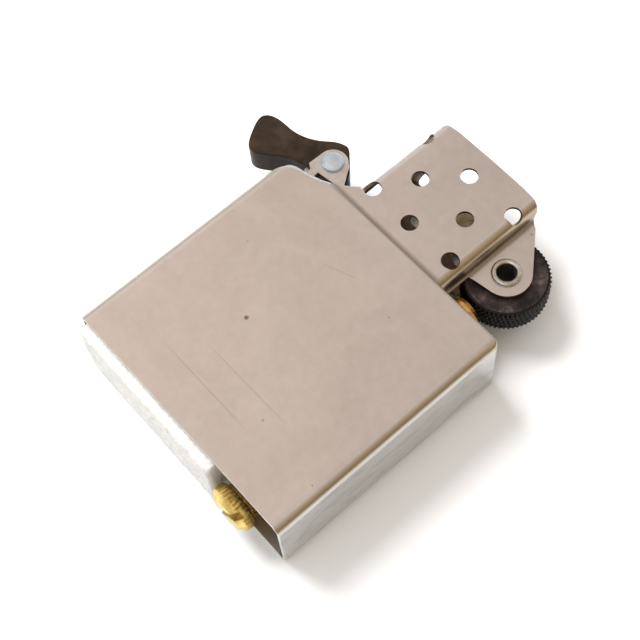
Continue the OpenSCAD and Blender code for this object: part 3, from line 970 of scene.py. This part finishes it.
def wick_strand():
    """Thin copper wire laid over the braid in a long spiral."""
    seg, rows = 8, 220
    y0, y1 = 4.4, 46.7
    pitch, reach, thin = 22.0, 1.66, 0.17
    verts = []
    for i in range(rows + 1):
        y = y0 + (y1 - y0) * i / rows
        a = math.radians(62) - 2 * math.pi * (y - 43.3) / pitch
        for k in range(seg):
            b = 2 * math.pi * k / seg
            r = reach + thin * math.cos(b)
            tilt = thin * math.sin(b)
            x = WICK_X + r * math.cos(a) + 0.4 * tilt * math.sin(a)
            z = MID + r * math.sin(a) - 0.4 * tilt * math.cos(a)
            verts.append((x, y + 0.9 * tilt, z))
    o = outward(obj_from("wick_strand", verts, capped(rows, seg), [COPPER]))
    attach(o, "wick")
    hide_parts("wick_wire")


wick()
wick_strand()


# ---------------------------------------------------------------- felt pad
def rounded_box(lo, hi, radius, cell, wobble, seed):
    """Closed box with rounded edges and an uneven surface, as vertices and faces."""
    bm = bmesh.new()
    size = [b - a for a, b in zip(lo, hi)]
    counts = [max(2, round(s / cell)) for s in size]
    index = {}

    def vert(i, j, k):
        key = (i, j, k)
        if key not in index:
            p = Vector([lo[d] + size[d] * key[d] / counts[d] for d in range(3)])
            core = Vector([min(max(p[d], lo[d] + radius), hi[d] - radius) for d in range(3)])
            away = p - core
            if away.length > radius:
                p = core + away.normalized() * radius
            n = away.normalized() if away.length > 1e-6 else Vector((0, 0, 0))
            q = p + Vector((seed, 0, 0))
            lump = 0.6 * noise.noise(q * 0.45) + 0.4 * noise.noise(q * 1.5)
            p -= n * wobble * (0.5 + 0.5 * lump)
            index[key] = bm.verts.new(p)
        return index[key]

    nx, ny, nz = counts
    for a, b, c, na, nb, nc in ((0, 1, 2, nx, ny, nz), (1, 2, 0, ny, nz, nx), (2, 0, 1, nz, nx, ny)):
        for end in (0, nc):
            for i in range(na):
                for j in range(nb):
                    quad = []
                    for di, dj in ((0, 0), (1, 0), (1, 1), (0, 1)):
                        key = [0, 0, 0]
                        key[a], key[b], key[c] = i + di, j + dj, end
                        quad.append(vert(*key))
                    bm.faces.new(quad)
    bmesh.ops.recalc_face_normals(bm, faces=bm.faces)
    bm.verts.index_update()
    verts = [tuple(v.co) for v in bm.verts]
    faces = [[v.index for v in f.verts] for f in bm.faces]
    bm.free()
    return verts, faces


def felt_pad():
    """Pad in one piece, a rounded box with loose fibres on its open face."""
    lo, hi = (-17.3, -1.45, 0.7), (7.35, 2.8, 10.7)
    verts, faces = rounded_box(lo, hi, radius=0.75, cell=0.28, wobble=0.26, seed=3.0)
    # Loose fibres standing out of the open face: bent, tapering three-sided strips
    fibres, thick = 4200, 0.014
    for _ in range(fibres):
        x = random.uniform(lo[0] + 0.1, hi[0] - 0.1)
        z = random.uniform(lo[2] + 0.15, hi[2] - 0.15)
        y = lo[1] + 0.22
        way = Vector((random.gauss(0, 0.9), random.uniform(-0.55, 0.1), random.gauss(0, 0.9)))
        way.normalize()
        long = random.uniform(0.3, 0.9)
        bend = Vector((random.gauss(0, 0.3), random.gauss(0, 0.12), random.gauss(0, 0.3)))
        across = way.cross(Vector((0, 1, 0))).normalized() * thick
        s = len(verts)
        for t in (0, 0.5, 1):
            p = Vector((x, y, z)) + way * long * t + bend * t * t * long
            p.x = min(max(p.x, lo[0]), hi[0])
            p.y = max(p.y, -1.62)
            p.z = min(max(p.z, 0.5), 10.9)
            wide = across * (1.1 - t)
            verts += [tuple(p - wide), tuple(p + wide), tuple(p + Vector((0, -0.016, 0)) * (1.1 - t))]
        for t in (0, 1):
            a = s + 3 * t
            faces += [(a, a + 1, a + 4, a + 3), (a + 1, a + 2, a + 5, a + 4), (a + 2, a, a + 3, a + 5)]
    o = obj_from("felt_pad", verts, faces, [FELT])
    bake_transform(o)
    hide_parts("felt_root", "felt_flap")


felt_pad()


# ---------------------------------------------------------------- cotton packing
def packing():
    """Five balls of cotton, each pressed aside by the wick."""
    clear = 2.1
    for i in range(1, 6):
        node = f"packing_{i}"
        bpy.context.view_layer.update()
        lo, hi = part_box(node)
        lo = [c / MM for c in lo]
        hi = [c / MM for c in hi]
        verts, faces = rounded_box(lo, hi, radius=1.6, cell=0.55, wobble=0.5, seed=10.0 * i)
        out = []
        for x, y, z in verts:
            away = Vector((x - WICK_X, z - MID))
            if 1e-6 < away.length < clear:
                away = away.normalized() * clear
                x, z = WICK_X + away.x, MID + away.y
            out.append((x, y, z))
        o = obj_from(f"cotton_ball_{i}", out, faces, [WADDING])
        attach(o, "unit")
        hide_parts(node)


packing()


# ---------------------------------------------------------------- flint spring
def spring_coil():
    """Coil between screw and follower."""
    seg, per_turn, turns = 8, 22, 17
    mean, wire = 1.325, 0.225
    y0, y1 = 6.0 + wire, 29.8 - wire
    rows = per_turn * turns
    verts = []
    for i in range(rows + 1):
        a = 2 * math.pi * i / per_turn
        y = y0 + (y1 - y0) * i / rows
        for k in range(seg):
            b = 2 * math.pi * k / seg
            r = mean + wire * math.cos(b)
            verts.append((TX + r * math.cos(a), y + wire * math.sin(b), MID + r * math.sin(a)))
    o = outward(obj_from("spring_coil", verts, capped(rows, seg), [SPRING]))
    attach(o, "spring_stack")
    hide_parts("flint_spring")
    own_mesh(o)


spring_coil()


# ---------------------------------------------------------------- CAD parts that keep their shape
def dress(node, material, width):
    o = NODES[node]
    o.data.materials.clear()
    o.data.materials.append(material)
    soften(o, width)


dress("top_plate", shaded_plate_steel(), 0.07)
dress("flint_tube", TUBE, 0.1)
dress("cam_spring", LEAF, 0.07)
dress("spring_rivet", RIVET, 0.08)
dress("flint", FLINT, 0.05)
dress("flint_follower", TUBE, 0.06)


# ---------------------------------------------------------------- stage, lights and camera
def floor():
    """White table, slightly cool under the object, with painted shade that greys it beyond its wheel
    side.
    """
    s = 3.0
    mesh = bpy.data.meshes.new("floor")
    mesh.from_pydata([(-s, -s, 0), (s, -s, 0), (s, s, 0), (-s, s, 0)], [], [(0, 1, 2, 3)])
    g = Graph("floor_white", rough=0.95)
    g.shader.inputs["Specular IOR Level"].default_value = 0.1
    tint = g.noise(g.coords(), 0.01, 2, 0.5)
    x = g.split(g.coords())[0]
    # Painted shade: the table greys from 60 mm out towards the wheel side
    far = g.math("DIVIDE", g.math("SUBTRACT", x, 60.0), 120.0, clamp=True)
    near = g.ramp(tint, [(0.3, (0.85, 0.89, 0.93)), (0.7, (0.86, 0.90, 0.94))])
    g.set("Base Color", g.mix(far, near, (0.74, 0.73, 0.71)))
    mesh.materials.append(g.mat)
    o = bpy.data.objects.new("floor", mesh)
    bpy.context.collection.objects.link(o)


def area(name, place, size, power):
    """Soft round light, aimed at the object's middle."""
    aim = (0, 0.02, 0.005)
    data = bpy.data.lights.new(name, "AREA")
    data.shape = "DISK"
    data.size = size
    data.energy = power
    o = bpy.data.objects.new(name, data)
    bpy.context.collection.objects.link(o)
    o.location = place
    o.rotation_mode = "QUATERNION"
    o.rotation_quaternion = (Vector(place) - Vector(aim)).to_track_quat("Z", "Y")
    return o


def world():
    """Studio surround: pale on the left, olive on the right, with a warm patch overhead."""
    w = bpy.data.worlds.new("studio")
    bpy.context.scene.world = w
    w.use_nodes = True
    t = w.node_tree
    t.nodes.clear()
    out = t.nodes.new("ShaderNodeOutputWorld")
    bg = t.nodes.new("ShaderNodeBackground")
    t.links.new(bg.outputs[0], out.inputs[0])
    way = t.nodes.new("ShaderNodeTexCoord").outputs["Generated"]
    sep = t.nodes.new("ShaderNodeSeparateXYZ")
    t.links.new(way, sep.inputs[0])

    def by_height(stops):
        ramp = t.nodes.new("ShaderNodeValToRGB")
        while len(ramp.color_ramp.elements) < len(stops):
            ramp.color_ramp.elements.new(0.5)
        for e, (at, c) in zip(ramp.color_ramp.elements, stops):
            e.position = at
            e.color = (*c, 1)
        t.links.new(sep.outputs[2], ramp.inputs[0])
        return ramp.outputs[0]

    def fade(value, low, high):
        """0 below low, 1 above high."""
        n = t.nodes.new("ShaderNodeMapRange")
        n.inputs["From Min"].default_value = low
        n.inputs["From Max"].default_value = high
        t.links.new(value, n.inputs["Value"])
        return n.outputs[0]

    def along(direction):
        n = t.nodes.new("ShaderNodeVectorMath")
        n.operation = "DOT_PRODUCT"
        t.links.new(way, n.inputs[0])
        n.inputs[1].default_value = direction
        return n.outputs["Value"]

    def blended(fac, a, b):
        n = t.nodes.new("ShaderNodeMix")
        n.data_type = "RGBA"
        t.links.new(fac, n.inputs[0])
        for socket, value in ((n.inputs[6], a), (n.inputs[7], b)):
            if isinstance(value, tuple):
                socket.default_value = (*value, 1)
            else:
                t.links.new(value, socket)
        return n.outputs[2]

    pale = [(0.0, (0.55, 0.53, 0.5)), (0.12, (0.6, 0.57, 0.54))]
    pale += [(0.35, (1.05, 1.03, 1.0)), (1.0, (1.1, 1.08, 1.06))]
    olive = [(0.0, (0.18, 0.14, 0.10)), (0.2, (0.24, 0.19, 0.13)), (0.36, (0.66, 0.52, 0.38))]
    olive += [(0.8, (0.80, 0.65, 0.50)), (1.0, (0.9, 0.85, 0.8))]
    surround = blended(fade(sep.outputs[0], 0.05, 0.5), by_height(pale), by_height(olive))
    # Warm ceiling patch that the front face mirrors, brighter on its left
    lean = fade(along((0.58, 0.815, 0)), -0.15, 0.15)
    patch = blended(lean, (1.12, 0.90, 0.765), (0.68, 0.545, 0.465))
    spread = fade(along(Vector((-0.36, 0.26, 0.9)).normalized()), 0.72, 0.95)
    t.links.new(blended(spread, surround, patch), bg.inputs[0])
    bg.inputs[1].default_value = 1.0


def camera():
    """Camera by azimuth, elevation, roll, aim and distance, without shift or depth of field."""
    az, el, roll = math.radians(54.49), math.radians(63.93), math.radians(-6.53)
    aim, distance = Vector((-0.74, 22.25, 5.0)), 168.11
    back = Vector((math.sin(az) * math.cos(el), -math.cos(az) * math.cos(el), math.sin(el)))
    right = Vector((0, 0, 1)).cross(back).normalized()
    up = back.cross(right)
    x = right * math.cos(roll) + up * math.sin(roll)
    y = up * math.cos(roll) - right * math.sin(roll)
    data = bpy.data.cameras.new("camera")
    data.sensor_width = 36
    data.lens = 77.574
    data.clip_start = 0.01
    o = bpy.data.objects.new("camera", data)
    bpy.context.collection.objects.link(o)
    place = aim * MM + back * distance * MM
    o.matrix_world = Matrix.Translation(place) @ Matrix((x, y, back)).transposed().to_4x4()
    bpy.context.scene.camera = o


floor()
world()
area("key", (-0.27, 0.0, 0.33), 0.26, 2.5).visible_glossy = False
area("fill", (0.10, -0.30, 0.25), 0.30, 0.2)
camera()
bpy.context.scene.view_settings.view_transform = "Standard"
